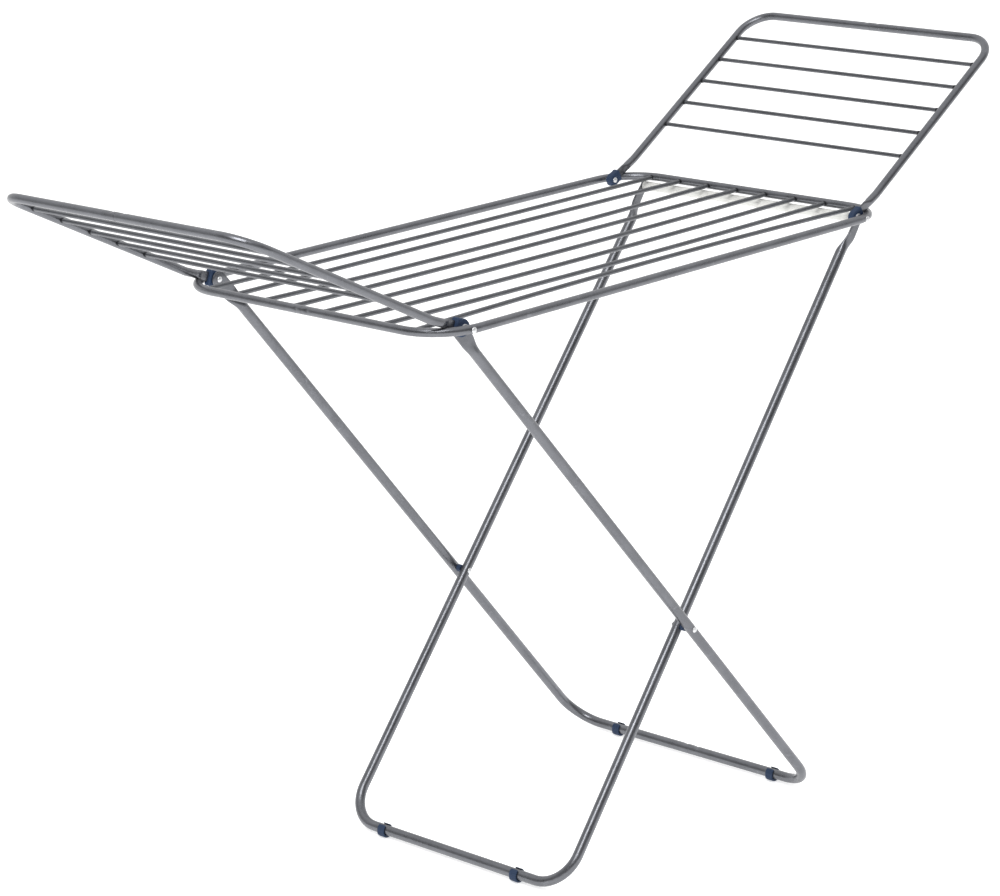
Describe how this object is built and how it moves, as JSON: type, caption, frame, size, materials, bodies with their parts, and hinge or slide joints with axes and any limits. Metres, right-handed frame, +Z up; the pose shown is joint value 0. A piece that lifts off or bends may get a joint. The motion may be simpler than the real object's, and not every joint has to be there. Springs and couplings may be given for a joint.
{
  "type": "clothes drying rack",
  "caption": "Folding winged clothes airer of bent round tube: a flat rack of parallel rods on crossed U-shaped legs, with a slatted wing hinged at each end.",
  "frame": {"origin": "middle of the bounding box, on the floor", "axes": "+X along the rack from the left wing to the right wing, +Y across it from front to back, +Z up"},
  "size_m": [1.6561, 0.5528, 1.1467],
  "materials": {
    "silver_tube": "silver-grey metallic lacquer on steel tube",
    "silver_rod": "silver-grey metallic lacquer on steel rod",
    "rivet_steel": "bright zinc-plated",
    "navy_plastic": "satin moulded, dark navy",
    "pale_bar": "pale satin coating"
  },
  "bodies": {
    "rack": {"hinge_rivet_left_back": "rivet_steel", "hinge_rivet_left_front": "rivet_steel", "hinge_rivet_right_back": "rivet_steel", "hinge_rivet_right_front": "rivet_steel", "hinge_spacer_left_back": "rivet_steel", "hinge_spacer_left_front": "rivet_steel", "hinge_spacer_right_back": "rivet_steel", "hinge_spacer_right_front": "rivet_steel", "main_frame_joint_plug": "rivet_steel", "main_frame_tube": "silver_tube", "main_rod_1": "silver_rod", "main_rod_2": "silver_rod", "main_rod_3": "silver_rod", "main_rod_4": "silver_rod", "main_rod_5": "silver_rod", "main_rod_6": "silver_rod", "main_rod_7": "silver_rod", "main_rod_8": "silver_rod"},
    "left_wing": {"left_hinge_cap_back": "navy_plastic", "left_hinge_cap_front": "navy_plastic", "left_wing_joint_plug": "rivet_steel", "left_wing_rod_1": "silver_rod", "left_wing_rod_2": "silver_rod", "left_wing_rod_3": "silver_rod", "left_wing_rod_4": "silver_rod", "left_wing_rod_5": "silver_rod", "left_wing_tube_back": "silver_tube", "left_wing_tube_front": "silver_tube"},
    "right_wing": {"right_hinge_cap_back": "navy_plastic", "right_hinge_cap_front": "navy_plastic", "right_wing_joint_plug": "rivet_steel", "right_wing_rod_1": "silver_rod", "right_wing_rod_2": "silver_rod", "right_wing_rod_3": "silver_rod", "right_wing_rod_4": "silver_rod", "right_wing_rod_5": "silver_rod", "right_wing_tube_back": "silver_tube", "right_wing_tube_front": "silver_tube"},
    "outer_leg": {"crossing_rivet_back": "rivet_steel", "crossing_rivet_front": "rivet_steel", "crossing_spacer_back": "navy_plastic", "crossing_spacer_front": "navy_plastic", "outer_foot_clip_back": "navy_plastic", "outer_foot_clip_front": "navy_plastic", "outer_leg_joint_plug": "rivet_steel", "outer_leg_tube_back": "silver_tube", "outer_leg_tube_front": "silver_tube"},
    "inner_leg": {"inner_foot_clip_back": "navy_plastic", "inner_foot_clip_front": "navy_plastic", "inner_leg_top_bar": "pale_bar", "inner_leg_tube": "silver_tube", "top_bar_rivet_back": "rivet_steel", "top_bar_rivet_front": "rivet_steel"}
  },
  "joints": [
    {"name": "left_wing_hinge", "type": "hinge", "parent": "rack", "child": "left_wing", "pos_m": [-0.4321, 0, 0.916], "axis": [0, 1, 0], "range_deg": [0, 150.5]},
    {"name": "right_wing_hinge", "type": "hinge", "parent": "rack", "child": "right_wing", "pos_m": [0.4499, 0, 0.916], "axis": [0, -1, 0], "range_deg": [0, 145.5]},
    {"name": "outer_leg_hinge", "type": "hinge", "parent": "rack", "child": "outer_leg", "pos_m": [-0.4321, 0, 0.916], "axis": [0, -1, 0], "range_deg": [0, 46]},
    {"name": "inner_leg_hinge", "type": "hinge", "parent": "outer_leg", "child": "inner_leg", "pos_m": [0.04766, 0, 0.35128], "axis": [0, 1, 0], "range_deg": [0, 95.3]}
  ],
  "couplings": [
    {"joint": "inner_leg_hinge", "follows": "outer_leg_hinge", "ratio": 2.07}
  ]
}
